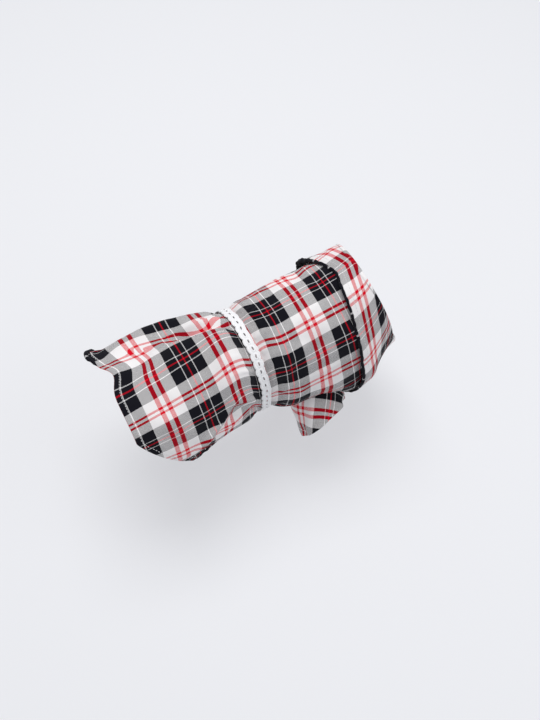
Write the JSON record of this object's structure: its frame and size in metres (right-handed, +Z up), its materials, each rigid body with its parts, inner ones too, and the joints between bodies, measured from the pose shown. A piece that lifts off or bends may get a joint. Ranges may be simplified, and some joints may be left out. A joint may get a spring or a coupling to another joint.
{
  "type": "dog dress",
  "caption": "Small dog's tartan shirt dress with a wide turned-down collar, short sleeves, a lace waist and a loose skirt, in its worn form.",
  "frame": {"origin": "top of the waist's inner face on the spine, where the dress lies on the back", "axes": "+X toward the head, along the back; +Y toward the wearer's left, the far side in the picture; +Z up"},
  "size_m": [0.3092, 0.1704, 0.1772],
  "materials": {
    "plaid_cotton": "yarn-dyed twill cotton in a red, black and white tartan, matte",
    "cotton_lace": "white cotton lace with eyelets, matte"
  },
  "bodies": {
    "root": {"bodice": "plaid_cotton", "skirt": "plaid_cotton", "collar": "plaid_cotton", "sleeve_near": "plaid_cotton", "sleeve_far": "plaid_cotton", "waist_lace": "cotton_lace"}
  },
  "joints": []
}
